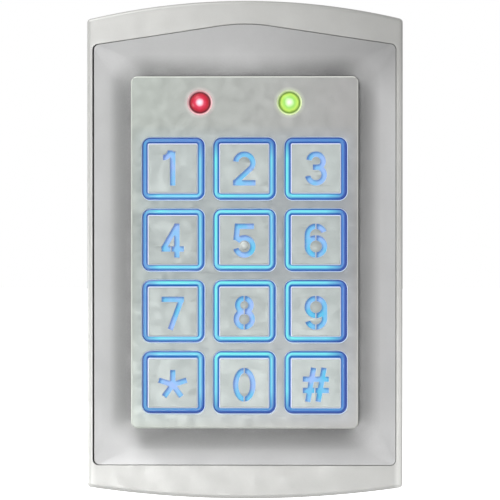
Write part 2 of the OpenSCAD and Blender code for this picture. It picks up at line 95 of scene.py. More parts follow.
CASE_W = (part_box("outer_frame")[1].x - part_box("outer_frame")[0].x) / MM
CASE_H = 120.0
TOP_R = 164.0
BOTTOM_R = 261.0
WALL = 1.6
FRAME_FRONT = front_of("outer_frame")
FRAME_BACK = 0.3
LEDGE_BACK = 4.2
LEDGE_FRONT = 11.0
LEDGE_W = 3.5
LEDGE_HALF_H = 49.2
LEDGE_SHOULDER = 24
LEDGE_SLOPE = 0.3
CASE_CORNER_R = 1.0
CASE_EDGE_R = 1.0
BACK_EDGE = 0.3

SEAM_HALF = CASE_W / 2 - WALL
SEAM_R = 1.4
GABLE_CROWN = 54.4
GABLE_SLOPE = 0.15
GABLE_R = 41.0
SEAM_FOOT = -51.9
SEAM_GAP = 0.03
LEFT_SEAM = 0.28
SEAM_ROUND = 0.18
BEZEL_RIM = front_of("bezel")
DISH_DEPTH = 3.4
BEZEL_LOW = BEZEL_RIM - DISH_DEPTH
LID_LIP = 0.14
COVE_R = 3.0
DISH_POWER = 1.7

PANEL_HALF_W = 27.3
PANEL_HALF_H = 42.3
PANEL_Z = -0.6
PANEL_R = 1.5
PANEL_GAP = 0.2
PANEL_FRONT = front_of("key_panel")
PANEL_BACK = PANEL_FRONT - 2
FLANGE_TOP = 12.2
FLANGE_OUT = 1
PANEL_WALL = 1.6
EAR_R = 2
EAR_HOLE_R = 1.1
OPENING_HALF = 7.5
OPENING_R = 2.0
LAMP_HOLE_R = 2.6

BOARD_FRONT = front_of("circuit_board")
BOARD_SCREWS = [(x, z) for x in (-30.4, 30.4) for z in (-40.4, -1.2, 38)]
PANEL_SCREWS = [(x, z) for x in (-20, 20) for z in (46.6, -47)]
COVER_SCREWS = [(x, z) for x in (-26, 26) for z in (-53.4, 52.9)]
BEZEL_SCREWS = [(x, z) for x in (-35, 35) for z in (-30, 0, 30)]
BOSS_R = 1.9
BOSS_HOLE_R = 0.9
SECURITY_OUT = 5.6
HOOK_PLACES = (-15, 15)
POCKET_HALF = 5.6

CAP_FRONT = front_of("keycap_1")
CAP_SKIRT = -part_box("keycap_1")[1].y / MM
CAP_HALF = 6.0
CAP_TOP = 0.7
CAP_WALL = 0.6
CAP_CORNER_R = 0.4
DOT_R = 1.0
DOT_DROP = 1.25
RING_HALF = 7.3
RING_R = 1.8
GROOVE_R = 0.45
STEM_R = 2.8
KEY_FLANGE_HALF = 8.1
KEY_FLANGE_T = 0.8
KEY_PITCH = middle_of("keycap_2")[0] - middle_of("keycap_1")[0]
MAT_T = 1.0
MAT_HOLE_R = 3.6
BACKLIGHT_OUT = 6.3
LAMP_R = 2.5
RING_FRONT = PANEL_FRONT + 0.3
OVERLAP = 0.02


# ---------------------------------------------------------------- outlines

CORNER_STEPS = 8
SIDE_STEPS = 40
ROUND_SIDES = 40
TURNED_SIDES = 64


def fillet(a, b, c, r):
    """The arc that rounds corner b of the path a, b, c."""
    a, b, c = Vector(a), Vector(b), Vector(c)
    u, v = (a - b).normalized(), (c - b).normalized()
    half = u.angle(v) / 2
    mid = b + (u + v).normalized() * (r / math.sin(half))
    start, end = b + u * (r / math.tan(half)) - mid, b + v * (r / math.tan(half)) - mid
    first = math.atan2(start.y, start.x)
    turn = math.atan2(start.x * end.y - start.y * end.x, start.dot(end))
    arc = []
    for i in range(CORNER_STEPS + 1):
        a = first + turn * i / CORNER_STEPS
        arc.append((mid.x + r * math.cos(a), mid.y + r * math.sin(a)))
    return arc


def outline(half_w, top, foot, r):
    """A closed outline with upright sides, whose top and foot are heights as functions of x."""
    near = half_w - max(2 * r, 0.5)
    tr, br = (half_w, top(half_w)), (half_w, foot(half_w))
    tl, bl = (-half_w, top(-half_w)), (-half_w, foot(-half_w))
    corners = [
        fillet(br, tr, (near, top(near)), r),
        fillet((-near, top(-near)), tl, bl, r),
        fillet(tl, bl, (-near, foot(-near)), r),
        fillet((near, foot(near)), br, tr, r),
    ]
    points = []
    for i, arc in enumerate(corners):
        points += arc
        start, end = arc[-1], corners[(i + 1) % 4][0]
        edge = {0: top, 2: foot}.get(i)
        for k in range(1, SIDE_STEPS):
            t = k / SIDE_STEPS
            x = start[0] + (end[0] - start[0]) * t
            points.append((x, edge(x) if edge else start[1] + (end[1] - start[1]) * t))
    return points


def case_outline(inset):
    """The housing's outline: curved top and bottom edges."""
    rt, rb = TOP_R - inset, BOTTOM_R - inset
    return outline(
        CASE_W / 2 - inset,
        lambda x: CASE_H / 2 - TOP_R + math.sqrt(rt * rt - x * x),
        lambda x: BOTTOM_R - CASE_H / 2 - math.sqrt(rb * rb - x * x),
        max(CASE_CORNER_R - inset, 0.25),
    )


def gable(inset):
    """The bezel's top edge: two slopes with a rounded crown."""
    r = GABLE_R - inset
    lean = math.sqrt(1 + GABLE_SLOPE * GABLE_SLOPE)
    peak = GABLE_CROWN + GABLE_R * (lean - 1) - inset * lean
    reach = r * GABLE_SLOPE / lean

    def height(x):
        if abs(x) < reach:
            return peak - r * lean + math.sqrt(r * r - x * x)
        return peak - GABLE_SLOPE * abs(x)

    return height


def seam_outline(inset):
    return outline(
        SEAM_HALF - inset, gable(inset), lambda x: SEAM_FOOT + inset, max(SEAM_R - inset, 0.3)
    )


def panel_outline(grow):
    return outline(
        PANEL_HALF_W + grow,
        lambda x: PANEL_Z + PANEL_HALF_H + grow,
        lambda x: PANEL_Z - PANEL_HALF_H - grow,
        max(PANEL_R + grow, 0.3),
    )


def ledge_outline():
    """The opening through the housing's ledge, whose top corners slope down."""
    return outline(
        SEAM_HALF - LEDGE_W,
        lambda x: min(LEDGE_HALF_H, LEDGE_HALF_H - (abs(x) - LEDGE_SHOULDER) * LEDGE_SLOPE),
        lambda x: -LEDGE_HALF_H,
        0.5,
    )


def square_outline(half, r, middle=(0, 0)):
    x0, z0 = middle
    points = outline(half, lambda x: half, lambda x: -half, r)
    return [(x + x0, z + z0) for x, z in points]


def round_outline(r, middle=(0, 0)):
    """A circle with as many points as the square outlines, matched to them by angle."""
    x0, z0 = middle
    points = []
    for x, z in square_outline(1, 0.5):
        size = math.hypot(x, z)
        points.append((x0 + r * x / size, z0 + r * z / size))
    return points


def circle(r, middle, sides=ROUND_SIDES):
    angles = [2 * math.pi * i / sides for i in range(sides)]
    return [(middle[0] + r * math.cos(a), middle[1] + r * math.sin(a)) for a in angles]


def blend(a, b, t):
    return [(p[0] + (q[0] - p[0]) * t, p[1] + (q[1] - p[1]) * t) for p, q in zip(a, b)]


# ---------------------------------------------------------------- mesh building


class Shape:
    """A mesh under construction."""

    def __init__(self):
        self.verts = []
        self.faces = []

    def ring(self, points, d):
        first = len(self.verts)
        self.verts += [(x * MM, -d * MM, z * MM) for x, z in points]
        return list(range(first, len(self.verts)))

    def band(self, a, b):
        n = len(a)
        for i in range(n):
            j = (i + 1) % n
            self.faces.append((a[i], a[j], b[j], b[i]))

    def loft(self, sections, closed=False):
        """Skin over (outline, depth) sections; closed joins the last to the first."""
        rings = [self.ring(points, d) for points, d in sections]
        for a, b in zip(rings, rings[1:]):
            self.band(a, b)
        if closed:
            self.band(rings[-1], rings[0])
        return rings

    def lid(self, *rings):
        """A flat face filling the first ring, with the others as holes."""
        flat = [Vector(self.verts[i]) for ring in rings for i in ring]
        index = [i for ring in rings for i in ring]
        loops, at = [], 0
        for ring in rings:
            loops.append([Vector((p.x, p.z, 0)) for p in flat[at:at + len(ring)]])
            at += len(ring)
        for a, b, c in tessellate_polygon(loops):
            self.faces.append((index[a], index[b], index[c]))

    def mesh(self, name):
        data = bpy.data.meshes.new(name)
        data.from_pydata(self.verts, [], self.faces)
        bm = bmesh.new()
        bm.from_mesh(data)
        bmesh.ops.remove_doubles(bm, verts=bm.verts, dist=0.0005 * MM)
        bmesh.ops.dissolve_degenerate(bm, edges=bm.edges, dist=0.0005 * MM)
        bmesh.ops.recalc_face_normals(bm, faces=bm.faces)
        bm.to_mesh(data)
        bm.free()
        return data


SMOOTH_ANGLE = math.radians(28)


def smooth(data):
    data.shade_smooth()
    data.set_sharp_from_angle(angle=SMOOTH_ANGLE)


def piece(name, data, material, body, slot, *stands_for):
    """A finished object that rides on a body and stands for CAD nodes."""
    smooth(data)
    obj = bpy.data.objects.new(name, data)
    bpy.context.scene.collection.objects.link(obj)
    data.materials.clear()
    data.materials.append(material)
    even = obj.modifiers.new("even_normals", "WEIGHTED_NORMAL")
    even.keep_sharp = True
    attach(obj, body)
    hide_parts(*stands_for)
    return obj


def rounding(r, steps=6):
    """(inset, drop) pairs for an edge rounded by r, from the side wall to the flat top."""
    quarter = [math.pi / 2 * i / steps for i in range(steps + 1)]
    return [(r * (1 - math.cos(a)), r * (1 - math.sin(a))) for a in quarter]


def cylinder_mesh(r, length, start, direction):
    """A closed cylinder as a mesh, for cutting with; millimetres in, metres out."""
    bm = bmesh.new()
    bmesh.ops.create_cone(
        bm, cap_ends=True, segments=ROUND_SIDES, radius1=r * MM, radius2=r * MM,
        depth=length * MM,
    )
    turn = Vector((0, 0, 1)).rotation_difference(Vector(direction))
    bmesh.ops.rotate(bm, verts=bm.verts, cent=(0, 0, 0), matrix=turn.to_matrix())
    middle = Vector(start) * MM + Vector(direction) * length / 2 * MM
    bmesh.ops.translate(bm, verts=bm.verts, vec=middle)
    data = bpy.data.meshes.new("cutter")
    bm.to_mesh(data)
    bm.free()
    return data


def box_mesh(low, high):
    bm = bmesh.new()
    bmesh.ops.create_cube(bm, size=1)
    low, high = Vector(low) * MM, Vector(high) * MM
    for v in bm.verts:
        v.co = [low[i] + (v.co[i] + 0.5) * (high[i] - low[i]) for i in range(3)]
    data = bpy.data.meshes.new("cutter")
    bm.to_mesh(data)
    bm.free()
    return data


def cut(data, cutters):
    """The mesh with each cutter taken out of it."""
    body = bpy.data.objects.new("being_cut", data)
    bpy.context.scene.collection.objects.link(body)
    tools = []
    for cutter in cutters:
        tool = bpy.data.objects.new("cutter", cutter)
        bpy.context.scene.collection.objects.link(tool)
        step = body.modifiers.new("cut", "BOOLEAN")
        step.operation = "DIFFERENCE"
        step.solver = "EXACT"
        step.object = tool
        tools.append(tool)
    ready = body.evaluated_get(bpy.context.evaluated_depsgraph_get())
    result = bpy.data.meshes.new_from_object(ready)
    for done in tools + [body]:
        bpy.data.objects.remove(done)
    return result


def lathe(shape, middle, profile):
    """A closed turned shape about an axis out from the wall, from (radius, depth) pairs."""
    rings = [shape.ring(circle(r, middle, TURNED_SIDES), d) for r, d in profile]
    for a, b in zip(rings, rings[1:]):
        shape.band(a, b)
    shape.faces.append(tuple(rings[0]))
    shape.faces.append(tuple(reversed(rings[-1])))


def tube(shape, middle, outer, inner, low, high):
    """A round boss with a hole through it."""
    shape.loft([(circle(outer, middle), low), (circle(outer, middle), high),
                (circle(inner, middle), high), (circle(inner, middle), low)], closed=True)


# ---------------------------------------------------------------- materials


def add(tree, kind, inputs=None, **settings):
    """A new node with its settings made and its inputs set or linked."""
    made = tree.nodes.new(kind)
    for name, value in settings.items():
        setattr(made, name, value)
    for name, value in (inputs or {}).items():
        if isinstance(value, bpy.types.NodeSocket):
            tree.links.new(value, made.inputs[name])
        else:
            made.inputs[name].default_value = value
    return made


def mix_colour(tree, factor, a, b):
    made = tree.nodes.new("ShaderNodeMix")
    made.data_type = "RGBA"
    for i, value in ((0, factor), (6, a), (7, b)):
        if isinstance(value, bpy.types.NodeSocket):
            tree.links.new(value, made.inputs[i])
        elif i:
            made.inputs[i].default_value = (*value, 1)
        else:
            made.inputs[i].default_value = value
    return made.outputs[2]


def maths(tree, operation, *values, clamp=False):
    made = tree.nodes.new("ShaderNodeMath")
    made.operation = operation
    made.use_clamp = clamp
    for i, value in enumerate(values):
        if isinstance(value, bpy.types.NodeSocket):
            tree.links.new(value, made.inputs[i])
        else:
            made.inputs[i].default_value = value
    return made.outputs[0]


def span(tree, value, low, high, to_low=0.0, to_high=1.0):
    """value carried from low..high to to_low..to_high, and held at the ends."""
    return add(tree, "ShaderNodeMapRange", {
        "Value": value, "From Min": low, "From Max": high, "To Min": to_low, "To Max": to_high,
    }).outputs["Result"]


def principled(name, metallic=0.0, roughness=0.5, coat=0.0, coat_roughness=0.1, specular=0.5):
    made = bpy.data.materials.new(name)
    made.use_nodes = True
    shader = made.node_tree.nodes["Principled BSDF"]
    shader.inputs["Metallic"].default_value = metallic
    shader.inputs["Roughness"].default_value = roughness
    shader.inputs["Coat Weight"].default_value = coat
    shader.inputs["Coat Roughness"].default_value = coat_roughness
    shader.inputs["Specular IOR Level"].default_value = specular
    return made, made.node_tree, shader


def position(tree):
    return add(tree, "ShaderNodeTexCoord").outputs["Object"]


def noise(tree, where, scale, detail=3.0, roughness=0.5):
    return add(tree, "ShaderNodeTexNoise", {
        "Vector": where, "Scale": scale, "Detail": detail, "Roughness": roughness,
    }).outputs["Fac"]


def finish(tree, shader, base, spread, cloud_scale, rough, grain_scale, grain):
    """Cloudy colour, uneven roughness and a fine grain, for a hard surface.

    base is a linear colour, spread the share it varies by, rough a (low, high) pair, and grain
    the height of the bumps in metres.
    """
    where = position(tree)
    cloud = noise(tree, where, cloud_scale)
    speck = noise(tree, where, grain_scale, 4.0, 0.6)
    low = [c * (1 - spread) for c in base]
    high = [min(c * (1 + spread), 1) for c in base]
    mixed = maths(tree, "MULTIPLY_ADD", speck, 0.35, maths(tree, "MULTIPLY", cloud, 0.65))
    colour = mix_colour(tree, span(tree, mixed, 0.3, 0.7), low, high)
    tree.links.new(colour, shader.inputs["Base Color"])
    uneven = span(tree, noise(tree, where, cloud_scale * 2.7), 0.3, 0.7, *rough)
    tree.links.new(uneven, shader.inputs["Roughness"])
    bumps = add(tree, "ShaderNodeBump", {"Height": speck, "Strength": 1.0, "Distance": grain})
    tree.links.new(bumps.outputs["Normal"], shader.inputs["Normal"])


def shade_creases(tree, shader, reach, darkest):
    """Darkens the base colour where walls close by keep the light out."""
    colour = shader.inputs["Base Color"].links[0].from_socket
    open_sky = add(tree, "ShaderNodeAmbientOcclusion", {"Distance": reach * MM}, samples=8)
    share = span(tree, open_sky.outputs["AO"], 0.42, 0.96, darkest, 1.0)
    tree.links.new(mix_colour(tree, share, (0, 0, 0), colour), shader.inputs["Base Color"])


def zinc(name, base, reach, darkest, high, right=0.0, low=0.0, foot=0.0, edges=(0.0, 0.0)):
    """Satin lacquer over a die casting.

    high, right, low and foot are painted light and shade: how much brighter it is at the top right,
    beside the key panel on the right, along the bottom edge and just below the panel; edges is
    painted light, how much brighter it is at the lower left and lower right edges of the front.
    """
    made, tree, shader = principled(name, metallic=0.45)
    finish(tree, shader, base, 0.035, 90, (0.46, 0.58), 2600, 0.000006)
    shade_creases(tree, shader, reach, darkest)
    x, _, z = axes_of(tree)
    # painted light and shade by place: darker or brighter at the top right, beside the panel on the
    # right, along the bottom, just below the panel and at the lower front edges
    at_high = maths(tree, "MULTIPLY", span(tree, x, -0.020, 0.034), span(tree, z, 0.036, 0.048))
    at_right = product(tree, span(tree, x, 0.026, 0.031), span(tree, z, 0.030, 0.042, 1, 0),
                       span(tree, z, -0.046, -0.040))
    tone = maths(tree, "MULTIPLY_ADD", at_high, high, 1.0)
    tone = maths(tree, "MULTIPLY_ADD", at_right, right, tone)
    tone = maths(tree, "MULTIPLY_ADD", span(tree, z, -0.046, -0.040, 1, 0), low, tone)
    at_foot = product(tree, span(tree, z, -0.0490, -0.0440), span(tree, z, -0.0424, -0.0423, 1, 0),
                      span(tree, maths(tree, "ABSOLUTE", x), 0.0240, 0.0290, 1, 0))
    tone = maths(tree, "MULTIPLY_ADD", at_foot, foot, tone)
    near_foot = span(tree, z, -0.040, 0.004, 1, 0)
    for edge, place in zip(edges, (span(tree, x, -0.0368, -0.0358, 1, 0),
                                   span(tree, x, 0.0358, 0.0368))):
        tone = maths(tree, "MULTIPLY_ADD", product(tree, place, near_foot), edge, tone)
    tint_base(tree, shader, tone, (1.0, 1.0, 1.0))
    return made


def facing(tree, towards):
    """How squarely the surface looks along a direction, from -1 to 1, in the frame's axes."""
    normal = add(tree, "ShaderNodeTexCoord").outputs["Normal"]
    made = add(tree, "ShaderNodeVectorMath", {0: normal, 1: Vector(towards).normalized()},
               operation="DOT_PRODUCT")
    return made.outputs["Value"]


def axes_of(tree):
    """The x, depth and z of a point, in metres."""
    axes = add(tree, "ShaderNodeSeparateXYZ", {"Vector": position(tree)}).outputs
    return axes["X"], maths(tree, "MULTIPLY", axes["Y"], -1), axes["Z"]


def product(tree, *factors):
    made = factors[0]
    for factor in factors[1:]:
        made = maths(tree, "MULTIPLY", made, factor)
    return made


UP_LEFT = (-1, 0, 1)


def tint_base(tree, shader, tone, tint):
    """Scales the base colour by a tone and a tint."""
    colour = shader.inputs["Base Color"].links[0].from_socket
    toned = add(tree, "ShaderNodeVectorMath", {0: colour, "Scale": tone}, operation="SCALE")
    tinted = add(tree, "ShaderNodeVectorMath", {0: toned.outputs["Vector"], 1: tint},
                 operation="MULTIPLY")
    tree.links.new(tinted.outputs["Vector"], shader.inputs["Base Color"])


def panel_steel(name):
    """Satin steel, with light caught on its edges and the glow round its keys and lamps."""
    made, tree, shader = principled(name, metallic=0.5)
    finish(tree, shader, (0.352, 0.356, 0.340), 0.05, 160, (0.42, 0.52), 3200, 0.000005)
    x, out, z = axes_of(tree)
    # painted light: brighter towards the top and bottom and towards the lower right
    tone = product(tree, span(tree, maths(tree, "ABSOLUTE", z), 0.004, 0.040, 0.91, 1.19),
                   span(tree, maths(tree, "SUBTRACT", x, z), -0.050, 0.050, 0.94, 1.07))
    side = mix_colour(tree, span(tree, x, -0.024, 0.024), (0.94, 1.0, 0.97), (1.04, 1.02, 1.05))
    tint_base(tree, shader, tone, side)
    across = maths(tree, "ABSOLUTE", x)
    # the field of keys, whose light spills on the panel
    keys = product(tree, span(tree, across, 0.0245, 0.0275, 1, 0),
                   span(tree, z, 0.0270, 0.0300, 1, 0), span(tree, z, -0.0425, -0.0395))
    # the eased edges of the openings and lamp holes, with painted light in the keys' and lamps'
    # colours, brightest where they face up and left
    lip = product(tree, span(tree, across, 0.0262, 0.0263, 1, 0), span(tree, z, -0.0422, -0.0421),
                  span(tree, z, 0.0400, 0.0401, 1, 0),
                  span(tree, out, (PANEL_FRONT - 0.03) * MM, (PANEL_FRONT - 0.005) * MM, 1, 0),
                  span(tree, out, (PANEL_FRONT - 0.5) * MM, (PANEL_FRONT - 0.2) * MM))
    lamps = span(tree, z, 0.0300, 0.0301)
    lamp_x, lamp_z = (abs(v) * MM for v in middle_of("status_led_green"))
    away = maths(tree, "SUBTRACT", across, lamp_x), maths(tree, "SUBTRACT", z, lamp_z)
    squares = [maths(tree, "MULTIPLY", v, v) for v in away]
    radius = maths(tree, "SQRT", maths(tree, "ADD", *squares))
    # the ring of light round each lamp
    halo = span(tree, radius, (LAMP_HOLE_R + 0.2) * MM, (LAMP_HOLE_R + 1.3) * MM, 0.25, 0)
    tint = mix_colour(tree, span(tree, x, -0.001, 0.001), (0.95, 0.52, 0.56), (0.70, 0.85, 0.42))
    tint = mix_colour(tree, lamps, (0.62, 0.76, 0.92), tint)
    lit = maths(tree, "MULTIPLY", lip, span(tree, facing(tree, UP_LEFT), -0.6, 0.5, 0.4, 0.9))
    # the panel's own rounded edge, with a painted highlight, strongest along its top
    up = maths(tree, "ABSOLUTE", maths(tree, "SUBTRACT", z, PANEL_Z * MM))
    rim = maths(tree, "MAXIMUM", span(tree, across, 0.02675, 0.02695),
                span(tree, up, 0.04175, 0.04195))
    rim = product(tree, rim, span(tree, out, (PANEL_FRONT - 0.38) * MM, (PANEL_FRONT - 0.12) * MM),
                  span(tree, out, (PANEL_FRONT - 0.02) * MM, (PANEL_FRONT - 0.004) * MM, 1, 0),
                  span(tree, facing(tree, (-0.4, 0, 1)), -0.6, 0.7, 0.25, 1.0))
    spill = mix_colour(tree, keys, (0, 0, 0), (0.0, 0.018, 0.040))
    spill = mix_colour(tree, halo, spill, tint)
    glow = mix_colour(tree, lit, spill, tint)
    glow = mix_colour(tree, rim, glow, (0.50, 0.51, 0.47))
    tree.links.new(glow, shader.inputs["Emission Color"])
    shader.inputs["Emission Strength"].default_value = 1.0
    return made


def cap_steel(name):
    """Satin steel whose bevelled edges pick up the ring's light."""
    made, tree, shader = principled(name, metallic=0.5)
    finish(tree, shader, (0.355, 0.378, 0.352), 0.05, 160, (0.42, 0.52), 3200, 0.000005)
    x, out, z = axes_of(tree)
    # painted light: the caps brighter towards the right and in the top and bottom rows
    across = span(tree, x, -0.012, 0.020, 0.95, 1.22)
    low = span(tree, z, -0.024, -0.010, 1.12, 0.96)
    up = span(tree, z, 0.008, 0.016, 1.0, 1.12)
    tint_base(tree, shader, product(tree, across, low, up), (1.0, 1.01, 1.04))
    # painted highlight on the bevelled edges, lilac, brightest where they face up and left
    bevel = product(tree, span(tree, out, (CAP_FRONT - 0.05) * MM, (CAP_FRONT - 0.01) * MM, 1, 0),
                    span(tree, out, (CAP_FRONT - 0.6) * MM, (CAP_FRONT - 0.3) * MM))
    lit = maths(tree, "MULTIPLY", bevel, span(tree, facing(tree, UP_LEFT), -0.5, 0.6, 0.34, 0.75))
    # the cap's walls, lit from below by the ring
    side = span(tree, out, (RING_FRONT + 0.1) * MM, (CAP_FRONT - 0.7) * MM, 1, 0)
    glow = mix_colour(tree, side, (0.0, 0.010, 0.020), (0.05, 0.19, 0.40))
    # painted highlight on the raised dot of the 5, brightest where it faces up and left
    dot = span(tree, out, (CAP_FRONT + 0.02) * MM, (CAP_FRONT + 0.2) * MM)
    shine = span(tree, facing(tree, UP_LEFT), -0.5, 0.6, 0.25, 0.9)
    glow = mix_colour(tree, maths(tree, "MULTIPLY", dot, shine), glow, (0.45, 0.47, 0.46))
    tree.links.new(mix_colour(tree, lit, glow, (0.66, 0.68, 0.95)), shader.inputs["Emission Color"])
    shader.inputs["Emission Strength"].default_value = 1.0
    return made


def plastic(name, base, rough=(0.45, 0.6), grain_scale=2200, grain=0.000012):
    made, tree, shader = principled(name)
    finish(tree, shader, base, 0.08, 120, rough, grain_scale, grain)
    return made


def bright_metal(name, base):
    made, tree, shader = principled(name, metallic=1.0)
    finish(tree, shader, base, 0.06, 260, (0.2, 0.32), 2400, 0.000004)
    return made


def zinc_plate(name):
    """Zinc-plated sheet: pale, with a faint crystal pattern."""
    made, tree, shader = principled(name, metallic=0.9)
    where = position(tree)
    flakes = add(tree, "ShaderNodeTexVoronoi", {"Vector": where, "Scale": 420.0})
    tone = span(tree, flakes.outputs["Color"], 0.0, 1.0)
    colour = mix_colour(tree, tone, (0.50, 0.52, 0.54), (0.62, 0.64, 0.66))
    tree.links.new(colour, shader.inputs["Base Color"])
    tree.links.new(span(tree, tone, 0, 1, 0.3, 0.48), shader.inputs["Roughness"])
    bumps = add(tree, "ShaderNodeBump", {
        "Height": noise(tree, where, 1800), "Strength": 1.0, "Distance": 0.000004,
    })
    tree.links.new(bumps.outputs["Normal"], shader.inputs["Normal"])
    return made


# the glow's colours (LIT_) and the painted shade colours (DIM_) for the ring's lower flanks and for
# faces turned away from the upper left
LIT_CYAN = (0.19, 0.88, 0.85)
LIT_BLUE = (0.21, 0.68, 0.84)
LIT_RIGHT = (0.24, 0.46, 0.76)
LIT_DEEP = (0.05, 0.11, 0.50)
DIM_CYAN = (0.01, 0.08, 0.38)
DIM_DEEP = (0.005, 0.02, 0.26)


def light_guide(name):
    """Clear plastic lit from behind: cyan in the middle of the keypad, deep blue at its rim."""
    made, tree, shader = principled(name, roughness=0.3, coat=0.2, coat_roughness=0.15,
                                    specular=0.3)
    x, out, z = axes_of(tree)
    # the keypad's outer edges
    right = span(tree, x, 0.0195, 0.0245)
    left = span(tree, x, -0.0205, -0.0245, 0, 0.85)
    foot = span(tree, z, -0.0340, -0.0395)
    head = span(tree, z, 0.0220, 0.0265, 0, 0.85)
    rim = maths(tree, "MAXIMUM", maths(tree, "MAXIMUM", right, left),
                maths(tree, "MAXIMUM", foot, head))
    drift = noise(tree, position(tree), 95, 2)
    colour = mix_colour(tree, span(tree, drift, 0.35, 0.65), LIT_CYAN, LIT_BLUE)
    # the right-hand side of each ring
    across = maths(tree, "FRACT", maths(tree, "MULTIPLY_ADD", x, 1 / (KEY_PITCH * MM), 1.5))
    turn = span(tree, across, 0.80, 0.92, 0, 0.55)
    colour = mix_colour(tree, turn, colour, LIT_RIGHT)
    colour = mix_colour(tree, rim, colour, LIT_DEEP)
    # painted light and shade: the ring's crown, where it faces up and to the left, gets the lit
    # colours; its lower flanks and the faces turned away get the dim ones
    crown = span(tree, out, (RING_FRONT - 0.43) * MM, (RING_FRONT - 0.14) * MM, 0, 1)
    turned = span(tree, facing(tree, UP_LEFT), -0.50, 0.20)
    dim = mix_colour(tree, rim, DIM_CYAN, DIM_DEEP)
    colour = mix_colour(tree, maths(tree, "MULTIPLY", crown, turned), dim, colour)
    tree.links.new(colour, shader.inputs["Emission Color"])
    shader.inputs["Emission Strength"].default_value = 0.98
    base = mix_colour(tree, span(tree, drift, 0.3, 0.7), (0.02, 0.06, 0.10), (0.03, 0.08, 0.14))
    tree.links.new(base, shader.inputs["Base Color"])
    return made


def figure_light(name):
    """The lit core seen through the figures: deep blue in the shade of their edges."""
    made, tree, shader = principled(name, roughness=0.4, specular=0.2)
    drift = noise(tree, position(tree), 230, 2)
    lift = span(tree, drift, 0.36, 0.64)
    up_left = add(tree, "ShaderNodeCombineXYZ", {"X": -0.5, "Y": -0.7, "Z": 0.5}).outputs["Vector"]
    open_sky = add(tree, "ShaderNodeAmbientOcclusion", {"Distance": 0.8 * MM, "Normal": up_left},
                   samples=8)
    share = span(tree, open_sky.outputs["AO"], 0.46, 0.80)
    colour = mix_colour(tree, lift, (0.09, 0.51, 0.80), (0.29, 0.47, 0.86))
    tree.links.new(mix_colour(tree, share, (0.02, 0.10, 0.42), colour),
                   shader.inputs["Emission Color"])
    shader.inputs["Emission Strength"].default_value = 0.85
    base = mix_colour(tree, lift, (0.05, 0.16, 0.20), (0.12, 0.16, 0.24))
    tree.links.new(base, shader.inputs["Base Color"])
    return made


def lamp(name, middle, ramp):
    """A lit 5 mm lamp: hot in the middle, saturated round it, dark at the rim."""
    made, tree, shader = principled(name, roughness=0.3, coat=0.08, coat_roughness=0.12,
                                    specular=0.3)
    where = position(tree)
    axes = add(tree, "ShaderNodeSeparateXYZ", {"Vector": where}).outputs
    x = maths(tree, "SUBTRACT", axes["X"], middle[0] * MM)
    z = maths(tree, "SUBTRACT", axes["Z"], middle[1] * MM)
    radius = maths(tree, "SQRT", maths(tree, "ADD", maths(tree, "MULTIPLY", x, x),
                                       maths(tree, "MULTIPLY", z, z)))
    wobble = maths(tree, "MULTIPLY_ADD", noise(tree, where, 900, 2), 0.0004, radius)
    place = span(tree, wobble, 0.0002, 0.0027)
    colours = add(tree, "ShaderNodeValToRGB", {"Fac": place})
    stops = colours.color_ramp.elements
    stops[0].position, stops[0].color = ramp[0][0], (*ramp[0][1], 1)
    stops[1].position, stops[1].color = ramp[-1][0], (*ramp[-1][1], 1)
    for at, colour in ramp[1:-1]:
        stop = stops.new(at)
        stop.color = (*colour, 1)
    tree.links.new(colours.outputs["Color"], shader.inputs["Emission Color"])
    dark = mix_colour(tree, 0.9, colours.outputs["Color"], (0.02, 0.02, 0.02))
    tree.links.new(dark, shader.inputs["Base Color"])
    shader.inputs["Emission Strength"].default_value = 1.05
    return made


MATERIALS = {
    "frame_zinc": zinc("frame_zinc", (0.62, 0.62, 0.60), 0.6, 0.6, -0.17, edges=(0.17, 0.33)),
    "bezel_zinc": zinc("bezel_zinc", (0.70, 0.70, 0.70), 5.5, 0.25, -0.28, 0.16, 0.08, -0.24),
    "panel_steel": panel_steel("panel_steel"),
    "cap_steel": cap_steel("cap_steel"),
    "light_guide": light_guide("light_guide"),
    "silicone": plastic("silicone", (0.62, 0.66, 0.70)),
    "carbon": plastic("carbon", (0.02, 0.02, 0.02)),
    "board_green": plastic("board_green", (0.01, 0.10, 0.04), (0.25, 0.4)),
    "led_blue": plastic("led_blue", (0.75, 0.85, 0.95), (0.2, 0.3)),
    "chip_black": plastic("chip_black", (0.02, 0.02, 0.022)),
    "relay_black": plastic("relay_black", (0.03, 0.03, 0.032)),
    "buzzer_black": plastic("buzzer_black", (0.015, 0.015, 0.015)),
    "terminal_green": plastic("terminal_green", (0.02, 0.20, 0.09)),
    "coil_copper": bright_metal("coil_copper", (0.62, 0.26, 0.12)),
    "can_aluminium": bright_metal("can_aluminium", (0.72, 0.73, 0.74)),
    "cell_ceramic": plastic("cell_ceramic", (0.55, 0.28, 0.10)),
    "cover_black": plastic("cover_black", (0.018, 0.018, 0.02), (0.5, 0.65), 1500, 0.00003),
    "gasket_rubber": plastic("gasket_rubber", (0.012, 0.012, 0.012), (0.6, 0.75)),
    "grommet_rubber": plastic("grommet_rubber", (0.016, 0.016, 0.016), (0.5, 0.65)),
    "plate_steel": zinc_plate("plate_steel"),
    "screw_steel": bright_metal("screw_steel", (0.60, 0.61, 0.62)),
    "led_red": lamp("led_red", middle_of("status_led_red"), [
        (0.0, (0.98, 0.88, 0.94)), (0.20, (0.96, 0.66, 0.76)), (0.44, (0.72, 0.04, 0.10)),
        (0.75, (0.50, 0.0, 0.02)), (0.95, (0.14, 0.0, 0.01))]),
    "led_green": lamp("led_green", middle_of("status_led_green"), [
        (0.0, (0.94, 0.98, 0.86)), (0.22, (0.76, 0.96, 0.60)), (0.50, (0.34, 0.72, 0.14)),
        (0.78, (0.52, 0.80, 0.12)), (0.95, (0.14, 0.26, 0.03))]),
}
FIGURE_LIGHT = figure_light("figure_light")


# ---------------------------------------------------------------- housing


def lean(points, shift):
    """Moves the left edge of an outline to the right by shift."""
    inner = PANEL_HALF_W
    return [(x + shift * max(-x - inner, 0) / (SEAM_HALF - inner), z) for x, z in points]


